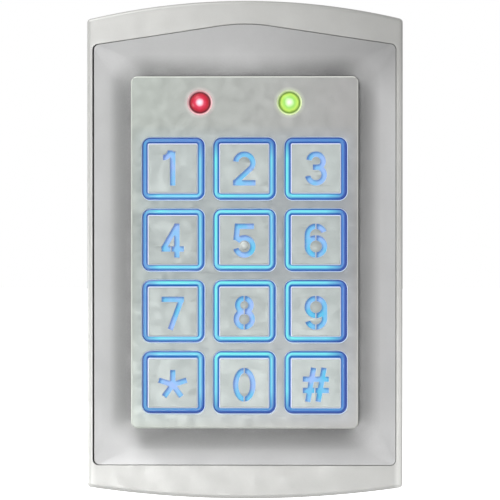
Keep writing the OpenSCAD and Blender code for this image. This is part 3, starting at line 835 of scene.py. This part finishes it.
def frame_cutters():
    """The holes and pockets in the housing: foot screw, hooks, cover screws and bezel screws."""
    behind = LEDGE_BACK - 1
    under_foot = (0, -SECURITY_OUT, -CASE_H / 2 - 1)
    cutters = [
        cylinder_mesh(1.7, 8, under_foot, (0, 0, 1)),
        cylinder_mesh(3.0, 3.3, under_foot, (0, 0, 1)),
        box_mesh((-POCKET_HALF, -8.6, -55.1), (POCKET_HALF, -behind, -52.4)),
    ]
    for x in HOOK_PLACES:
        left, right = x - POCKET_HALF, x + POCKET_HALF
        cutters.append(box_mesh((left, -7.6, 52.7), (right, -behind, 55.1)))
        cutters.append(box_mesh((left, -7.6, 52.6), (right, -5.4, 57.1)))
    for x, z in COVER_SCREWS:
        cutters.append(cylinder_mesh(1.0, 5, (x, -behind, z), (0, -1, 0)))
    for x, z in BEZEL_SCREWS:
        cutters.append(cylinder_mesh(2.0, 2.5, (x, -behind, z), (0, -1, 0)))
        cutters.append(cylinder_mesh(1.15, 9, (x, -behind, z), (0, -1, 0)))
    return cutters


def outer_frame():
    shape = Shape()
    sections = [(case_outline(BACK_EDGE), FRAME_BACK), (case_outline(0.0), FRAME_BACK + BACK_EDGE)]
    sections += [(case_outline(g), FRAME_FRONT - drop) for g, drop in rounding(CASE_EDGE_R, 8)]
    turns = [math.pi / 2 * i / 6 for i in range(7)]
    seam = [(SEAM_ROUND * (math.sin(a) - 1), SEAM_ROUND * (1 - math.cos(a))) for a in turns]
    sections += [(lean(seam_outline(g), -LEFT_SEAM), FRAME_FRONT - drop) for g, drop in seam]
    sections += [
        (lean(seam_outline(0), -LEFT_SEAM), LEDGE_FRONT), (ledge_outline(), LEDGE_FRONT),
        (ledge_outline(), LEDGE_BACK), (case_outline(WALL), LEDGE_BACK),
        (case_outline(WALL), FRAME_BACK + BACK_EDGE), (case_outline(WALL - 0.2), FRAME_BACK),
    ]
    shape.loft(sections, closed=True)
    data = shape.mesh("outer_frame_cast")
    data = cut(data, frame_cutters())
    return piece("outer_frame_cast", data, MATERIALS["frame_zinc"], "root", "frame_zinc",
                 "outer_frame")


DISH_STEPS = 26


def dish_height(s):
    """Height of the dished face, s going from 0 at its rim to 1 at the key panel."""
    return BEZEL_LOW + DISH_DEPTH * (1 - s) ** DISH_POWER


def mix(a, b, t):
    return a + (b - a) * t


def dish_outline(s):
    """The dish's contour at s: its corners are rounder half way than at rim or panel."""
    inset = SEAM_GAP + LID_LIP
    half = mix(SEAM_HALF - inset, PANEL_HALF_W + PANEL_GAP, s)
    peak = gable(inset)
    return outline(
        half,
        lambda x: mix(peak(x * (SEAM_HALF - inset) / half), PANEL_Z + PANEL_HALF_H + PANEL_GAP, s),
        lambda x: mix(SEAM_FOOT + inset, PANEL_Z - PANEL_HALF_H - PANEL_GAP, s),
        mix(SEAM_R - inset, PANEL_R + PANEL_GAP, s) + COVE_R * math.sin(math.pi * s),
    )


def bezel():
    rim, window = seam_outline(SEAM_GAP), dish_outline(1)
    under_rim = blend(rim, window, 0.28)
    shape = Shape()
    sections = [(rim, LEDGE_FRONT)]
    sections += [
        (seam_outline(SEAM_GAP + g), BEZEL_RIM - drop) for g, drop in rounding(LID_LIP, 5)
    ]
    for i in range(1, DISH_STEPS + 1):
        s = i / DISH_STEPS
        sections.append((dish_outline(s), dish_height(s)))
    sections += [
        (window, FLANGE_TOP), (blend(rim, window, 0.6), FLANGE_TOP),
        (under_rim, FLANGE_TOP + 0.8), (under_rim, LEDGE_FRONT),
    ]
    shape.loft(sections, closed=True)
    for at in BOARD_SCREWS:
        tube(shape, at, BOSS_R, BOSS_HOLE_R, BOARD_FRONT, FLANGE_TOP + 0.4)
    for at in PANEL_SCREWS:
        tube(shape, at, BOSS_R, BOSS_HOLE_R, FLANGE_TOP, FLANGE_TOP + 1)
    data = shape.mesh("bezel_dish")
    return piece("bezel_dish", data, MATERIALS["bezel_zinc"], "root", "bezel_zinc", "bezel")


def key_place(key):
    return middle_of("keycap_" + key)


def ear(shape, at):
    """A flat ear on the panel's flange, with its screw hole."""
    x, z = at
    way = 1 if z > 0 else -1
    root = PANEL_Z + way * (PANEL_HALF_H + 0.5)
    arc = [math.pi * i / 20 for i in range(21)]
    edge = [(x + EAR_R * math.cos(a), z + way * EAR_R * math.sin(a)) for a in arc]
    edge += [(x - EAR_R, root), (x + EAR_R, root)]
    low, high = [
        [shape.ring(edge, d), shape.ring(circle(EAR_HOLE_R, at), d)]
        for d in (LEDGE_FRONT, FLANGE_TOP - OVERLAP)
    ]
    for a, b in zip(low, high):
        shape.band(a, b)
    shape.lid(*low)
    shape.lid(*high)


def key_panel():
    """The raised panel: a rounded plate with twelve openings and two lamp holes, on a tray."""
    shape = Shape()
    edge, lip, chamfer = 0.38, 0.25, 0.42
    outside = shape.loft(
        [(panel_outline(0), LEDGE_FRONT)]
        + [(panel_outline(-g), PANEL_FRONT - drop) for g, drop in rounding(edge, 6)]
    )
    turns = [math.pi / 2 * i / 4 for i in range(5)]
    eased = [(lip * math.sin(a), lip * (1 - math.cos(a))) for a in turns]
    holes = []
    for key in KEYS:
        at = key_place(key)
        holes.append(shape.loft(
            [(square_outline(OPENING_HALF + lip - g, OPENING_R + lip - g, at), PANEL_FRONT - drop)
             for g, drop in eased]
            + [(square_outline(OPENING_HALF, OPENING_R, at), PANEL_BACK)]
        ))
    for node in ("status_led_red", "status_led_green"):
        at = middle_of(node)
        holes.append(shape.loft([
            (round_outline(LAMP_HOLE_R + chamfer, at), PANEL_FRONT),
            (round_outline(LAMP_HOLE_R + 0.06, at), PANEL_FRONT - chamfer + 0.03),
            (round_outline(LAMP_HOLE_R, at), PANEL_FRONT - chamfer - 0.05),
            (round_outline(LAMP_HOLE_R, at), PANEL_BACK),
        ]))
    shape.lid(outside[-1], *[rings[0] for rings in holes])
    cavity = panel_outline(-PANEL_WALL)
    inside = shape.loft([(cavity, PANEL_BACK), (cavity, LEDGE_FRONT)])
    shape.lid(inside[0], *[rings[-1] for rings in holes])
    shape.band(inside[-1], outside[0])
    near, far = panel_outline(OVERLAP), panel_outline(FLANGE_OUT)
    shape.loft([(near, LEDGE_FRONT), (far, LEDGE_FRONT), (far, FLANGE_TOP), (near, FLANGE_TOP)],
               closed=True)
    for at in PANEL_SCREWS:
        ear(shape, at)
    data = shape.mesh("key_panel_tray")
    return piece("key_panel_tray", data, MATERIALS["panel_steel"], "root", "panel_steel",
                 "key_panel")


# ---------------------------------------------------------------- keys


def front_loops(node):
    """The closed edges of a node's front face, as (x, z) outlines in millimetres, largest first."""
    bm = bmesh.new()
    bm.from_mesh(nodes[node].data)
    bmesh.ops.remove_doubles(bm, verts=bm.verts, dist=0.001 * MM)
    front = -CAP_FRONT * MM
    flat = {f for f in bm.faces if all(abs(v.co.y - front) < 0.001 * MM for v in f.verts)}
    following = {}
    for face in flat:
        for loop in face.loops:
            if sum(1 for other in loop.edge.link_faces if other in flat) == 1:
                following[loop.vert] = loop.link_loop_next.vert
    loops, seen = [], set()
    for start in list(following):
        if start in seen:
            continue
        loop, at = [], start
        while at not in seen:
            seen.add(at)
            loop.append((at.co.x / MM, at.co.z / MM))
            at = following[at]
        loops.append(loop)
    bm.free()
    loops.sort(key=lambda points: -abs(area(points)))
    return loops


def area(points):
    total = 0.0
    for (x0, z0), (x1, z1) in zip(points, points[1:] + points[:1]):
        total += x0 * z1 - x1 * z0
    return total / 2


def grown(points, by):
    """A closed outline moved outwards by a small distance."""
    sign = 1 if area(points) > 0 else -1
    made, n = [], len(points)
    for i in range(n):
        a, b, c = (Vector(points[(i + k) % n]) for k in (-1, 0, 1))
        u, v = (b - a).normalized(), (c - b).normalized()
        side = Vector((u.y + v.y, -u.x - v.x)) * sign
        if side.length < 1e-6:
            made.append((b.x, b.y))
            continue
        side.normalize()
        reach = by / max(side.dot(Vector((u.y, -u.x)) * sign), 0.45)
        made.append((b.x + side.x * reach, b.y + side.y * reach))
    return made


CROWDED = 0.06


def thinned(points):
    """A closed outline without points that crowd each other."""
    kept = []
    for p in points:
        if not kept or math.dist(p, kept[-1]) > CROWDED:
            kept.append(p)
    if math.dist(kept[0], kept[-1]) <= CROWDED:
        kept.pop()
    return kept


def keycap(key):
    """The metal cap: bevelled edges, and a figure with softened edges cut through its top."""
    at = key_place(key)
    edge, soft = 0.4, 0.1
    shape = Shape()
    outside = shape.loft(
        [(square_outline(CAP_HALF, CAP_CORNER_R, at), CAP_SKIRT)]
        + [(square_outline(CAP_HALF - g, max(CAP_CORNER_R - g, 0.12), at), CAP_FRONT - drop)
           for g, drop in rounding(edge, 5)]
    )
    holes = []
    dot = (at[0], at[1] - DOT_DROP)
    for points in front_loops("keycap_" + key)[1:]:
        centre = (sum(p[0] for p in points) / len(points), sum(p[1] for p in points) / len(points))
        if key == "5" and math.dist(centre, dot) < 0.1:
            continue
        points = thinned(points)
        holes.append(shape.loft([
            (grown(points, soft), CAP_FRONT),
            (grown(points, soft * 0.3), CAP_FRONT - soft * 0.3),
            (points, CAP_FRONT - soft),
            (points, CAP_FRONT - CAP_TOP),
        ]))
    shape.lid(outside[-1], *[rings[0] for rings in holes])
    inner = square_outline(CAP_HALF - CAP_WALL, 0.3, at)
    inside = shape.loft([(inner, CAP_FRONT - CAP_TOP), (inner, CAP_SKIRT)])
    shape.lid(inside[0], *[rings[-1] for rings in holes])
    shape.band(inside[-1], outside[0])
    if key == "5":
        high = -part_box("keycap_5")[0].y / MM - CAP_FRONT
        steps = [math.pi / 2 * i / 8 for i in range(9)]
        lathe(shape, dot, [(DOT_R, CAP_FRONT - 0.2)] + [
            (DOT_R * math.cos(a) + 0.001, CAP_FRONT + high * math.sin(a)) for a in steps])
    data = shape.mesh("cap_" + key)
    return piece("cap_" + key, data, MATERIALS["cap_steel"], "key_" + key, "cap_steel",
                 "keycap_" + key)


RING_PROFILE_STEPS = 12


def light_ring(key):
    """The clear body: stem, flange, and a crowned ring round the cap."""
    at = key_place(key)
    node = "light_frame_" + key
    low = -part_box(node)[1].y / MM
    flange_top = PANEL_BACK - 0.05
    groove = CAP_HALF + 0.05
    crown, fall = 0.55, 0.12
    plug_top = CAP_FRONT - CAP_TOP - 0.01
    stem, plug_edge = round_outline(STEM_R, at), square_outline(CAP_HALF - 0.65, 0.25, at)
    flange = square_outline(KEY_FLANGE_HALF, 1, at)
    shape = Shape()
    sections = [
        (stem, low), (stem, flange_top - KEY_FLANGE_T),
        (flange, flange_top - KEY_FLANGE_T), (flange, flange_top),
        (square_outline(RING_HALF, RING_R, at), flange_top),
    ]
    for i in range(RING_PROFILE_STEPS + 1):
        t = i / RING_PROFILE_STEPS
        edge = square_outline(mix(RING_HALF, groove, t), mix(RING_R, GROOVE_R, t), at)
        lift = math.sqrt(max(1 - (2 * t - 1) ** 2, 0))
        sections.append((edge, RING_FRONT - crown + crown * lift - fall * t * (1 - lift)))
    sections.append((square_outline(groove, GROOVE_R, at), CAP_SKIRT))
    sections.append((plug_edge, CAP_SKIRT))
    rings = shape.loft(sections)
    plug = shape.ring(plug_edge, plug_top)
    shape.band(rings[-1], plug)
    shape.lid(rings[0])
    shape.lid(plug)
    data = shape.mesh("glow_" + key)
    piece("glow_" + key, data, MATERIALS["light_guide"], "key_" + key, "light_guide", node)
    data.materials.append(FIGURE_LIGHT)
    for face in data.polygons:
        if abs(face.center.y + plug_top * MM) < 0.01 * MM:
            face.material_index = 1


def contact_pill(key):
    """A carbon pill with a softened edge."""
    node = "contact_pill_" + key
    low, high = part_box(node)
    d0, d1, r = -high.y / MM, -low.y / MM, (high.x - low.x) / 2 / MM
    shape = Shape()
    lathe(shape, middle_of(node), [(r - 0.1, d0), (r, d0 + 0.1), (r, d1 - 0.1), (r - 0.1, d1)])
    data = shape.mesh("pill_" + key)
    return piece("pill_" + key, data, MATERIALS["carbon"], "key_" + key, "carbon", node)


def mat_sheet():
    """The silicone sheet, open under each dome and over each backlight."""
    low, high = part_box("key_mat")
    half, foot, top = high.x / MM, low.z / MM, high.z / MM
    edge = outline(half, lambda x: top, lambda x: foot, 1.0)
    holes = []
    for key in KEYS:
        x, z = key_place(key)
        holes.append(circle(MAT_HOLE_R, (x, z)))
        for side in (-BACKLIGHT_OUT, BACKLIGHT_OUT):
            slot = [(-1, -1.4), (1, -1.4), (1, 1.4), (-1, 1.4)]
            holes.append([(x + side + a, z + b) for a, b in slot])
    shape = Shape()
    levels = [[shape.ring(points, d) for points in [edge] + holes]
              for d in (BOARD_FRONT, BOARD_FRONT + MAT_T)]
    for a, b in zip(*levels):
        shape.band(a, b)
    for rings in levels:
        shape.lid(*rings)
    return piece("mat_sheet", shape.mesh("mat_sheet"), MATERIALS["silicone"], "root", "silicone",
                 "key_mat")


def mat_dome(key):
    """The rubber dome under a key, modelled at rest; the real one flattens when the key is pressed.
    """
    base, top = BOARD_FRONT + MAT_T, front_of("key_mat")
    ceiling = front_of("contact_pill_" + key)
    shape = Shape()
    lathe(shape, key_place(key), [
        (2.4, ceiling), (MAT_HOLE_R, base), (4.4, base), (4.25, base + 0.08), (4.05, base + 0.3),
        (3.3, top - 0.35), (3.15, top - 0.12), (3.0, top - 0.03), (2.85, top)])
    made = piece("mat_dome_" + key, shape.mesh("mat_dome_" + key), MATERIALS["silicone"], "root",
                 "silicone", "key_mat")
    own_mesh(made)


# ---------------------------------------------------------------- lamps and inner parts


def status_lamp(node, material):
    """A 5 mm lamp: domed body on a base flange, with two legs."""
    low, tip = -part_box(node)[1].y / MM, front_of(node)
    base = low + 0.4
    steps = [math.pi / 2 * i / 14 for i in range(14)]
    foot = [(2.8, base), (2.9, base + 0.1), (2.9, base + 0.9), (2.8, base + 1), (LAMP_R, base + 1)]
    dome = [(LAMP_R * math.cos(a), tip - LAMP_R + LAMP_R * math.sin(a)) for a in steps]
    shape = Shape()
    at = middle_of(node)
    lathe(shape, at, foot + dome + [(0.02, tip)])
    for x in (-1.27, 1.27):
        leg = square_outline(0.25, 0.05, (at[0] + x, at[1]))
        rings = shape.loft([(leg, low), (leg, base + 0.02)])
        shape.lid(rings[0])
        shape.lid(rings[1])
    data = shape.mesh(node + "_body")
    return piece(node + "_body", data, MATERIALS[material], "root", material, node)


SLOT_OF = {s["node"]: s["material_slot"] for s in frame["record"]["subparts"]}


def dress(node, bevel):
    """Keeps a CAD node's own shape, softens its edges and gives it its material."""
    obj = nodes[node]
    obj.data.set_sharp_from_angle(angle=SMOOTH_ANGLE)
    obj.data.materials.clear()
    obj.data.materials.append(MATERIALS[SLOT_OF[node]])
    weld = obj.modifiers.new("weld", "WELD")
    weld.merge_threshold = 0.001 * MM
    flat = obj.modifiers.new("flat", "DECIMATE")
    flat.decimate_type = "DISSOLVE"
    flat.angle_limit = math.radians(0.5)
    edge = obj.modifiers.new("edge", "BEVEL")
    edge.width = bevel * MM
    edge.segments = 3
    edge.limit_method = "ANGLE"
    edge.angle_limit = math.radians(40)
    edge.harden_normals = True


outer_frame()
bezel()
key_panel()
for key in KEYS:
    keycap(key)
    light_ring(key)
    contact_pill(key)
    mat_dome(key)
mat_sheet()
status_lamp("status_led_red", "led_red")
status_lamp("status_led_green", "led_green")

BEVELS = {
    "back_plate": 0.15, "rear_cover": 0.2, "seal_gasket": 0.1, "cable_grommet": 0.25,
    "security_screw": 0.12, "bezel_screws": 0.06, "panel_screws": 0.06, "board_screws": 0.06,
    "cover_screws": 0.05, "circuit_board": 0.05, "backlight_leds": 0.05,
    "controller_chip": 0.04, "relay": 0.1, "buzzer": 0.1, "terminal_header": 0.1,
    "antenna_coil": 0.3, "capacitors": 0.1, "light_sensor": 0.1,
}
for node, bevel in BEVELS.items():
    dress(node, bevel)


# ---------------------------------------------------------------- stage, lights and camera


def floor():
    half = 3.0
    height = -0.09
    data = bpy.data.meshes.new("floor")
    corners = [(-half, -half, height), (half, -half, height), (half, half, height),
               (-half, half, height)]
    data.from_pydata(corners, [], [(0, 1, 2, 3)])
    made, tree, shader = principled("floor_white", roughness=0.8)
    shader.inputs["Base Color"].default_value = (0.92, 0.92, 0.92, 1)
    shader.inputs["Emission Color"].default_value = (1, 1, 1, 1)
    seen = add(tree, "ShaderNodeLightPath").outputs["Is Camera Ray"]
    tree.links.new(span(tree, seen, 0, 1, 0.0, 1.0), shader.inputs["Emission Strength"])
    data.materials.append(made)
    obj = bpy.data.objects.new("floor", data)
    bpy.context.scene.collection.objects.link(obj)


MIDDLE = Vector((0, -FRAME_FRONT * MM, 0))
AMBIENT = 0.31


def place_light(name, data, at, aim, power):
    data.energy = power
    obj = bpy.data.objects.new(name, data)
    bpy.context.scene.collection.objects.link(obj)
    obj.location = at
    obj.rotation_euler = (Vector(aim) - Vector(at)).to_track_quat("-Z", "Y").to_euler()


def soft_light(name, at, size, power):
    data = bpy.data.lights.new(name, "AREA")
    data.shape = "ELLIPSE"
    data.size, data.size_y = size
    place_light(name, data, at, MIDDLE, power)


def pool_light(name, at, aim, reach, size, power):
    """A soft pool of light that fades out at a distance of reach round its aim."""
    data = bpy.data.lights.new(name, "SPOT")
    data.spot_size = 2 * math.atan(reach / (Vector(aim) - Vector(at)).length)
    data.spot_blend = 1
    data.shadow_soft_size = size
    place_light(name, data, at, aim, power)


def world():
    made = bpy.data.worlds.new("studio")
    bpy.context.scene.world = made
    made.use_nodes = True
    tree = made.node_tree
    sky = tree.nodes["Background"]
    sky.inputs["Color"].default_value = (1, 1, 1, 1)
    seen = add(tree, "ShaderNodeLightPath").outputs["Is Camera Ray"]
    tree.links.new(span(tree, seen, 0, 1, AMBIENT, 1.0), sky.inputs["Strength"])


floor()
world()
pool_light("low_left", (-0.12, -0.9, -0.09), (-0.12, 0, -0.08), 0.200, 0.12, 30.5)
soft_light("left_strip", (-0.25, -0.02, -0.07), (0.05, 0.16), 0.26)
soft_light("right_fill", (0.32, -0.26, -0.06), (0.25, 0.30), 0.36)
soft_light("high_left", (-0.16, -0.16, 0.32), (0.3, 0.3), 0.75)
soft_light("back_light", (0.25, 0.35, 0.25), (0.25, 0.25), 0.8)

CAMERA_AT = Vector((0.0132, -0.6, 0.0063))
AIM = Vector((0.00127, -FRAME_FRONT * MM, 0))
FRAME_MM = 120.35
camera_data = bpy.data.cameras.new("camera")
camera = bpy.data.objects.new("camera", camera_data)
bpy.context.scene.collection.objects.link(camera)
camera.location = CAMERA_AT
camera.rotation_euler = (AIM - CAMERA_AT).to_track_quat("-Z", "Y").to_euler()
camera_data.sensor_width = 36
camera_data.lens = 36 * (AIM - CAMERA_AT).length / (FRAME_MM * MM)
camera_data.clip_start = 0.01
bpy.context.scene.camera = camera
bpy.context.scene.view_settings.view_transform = "Standard"
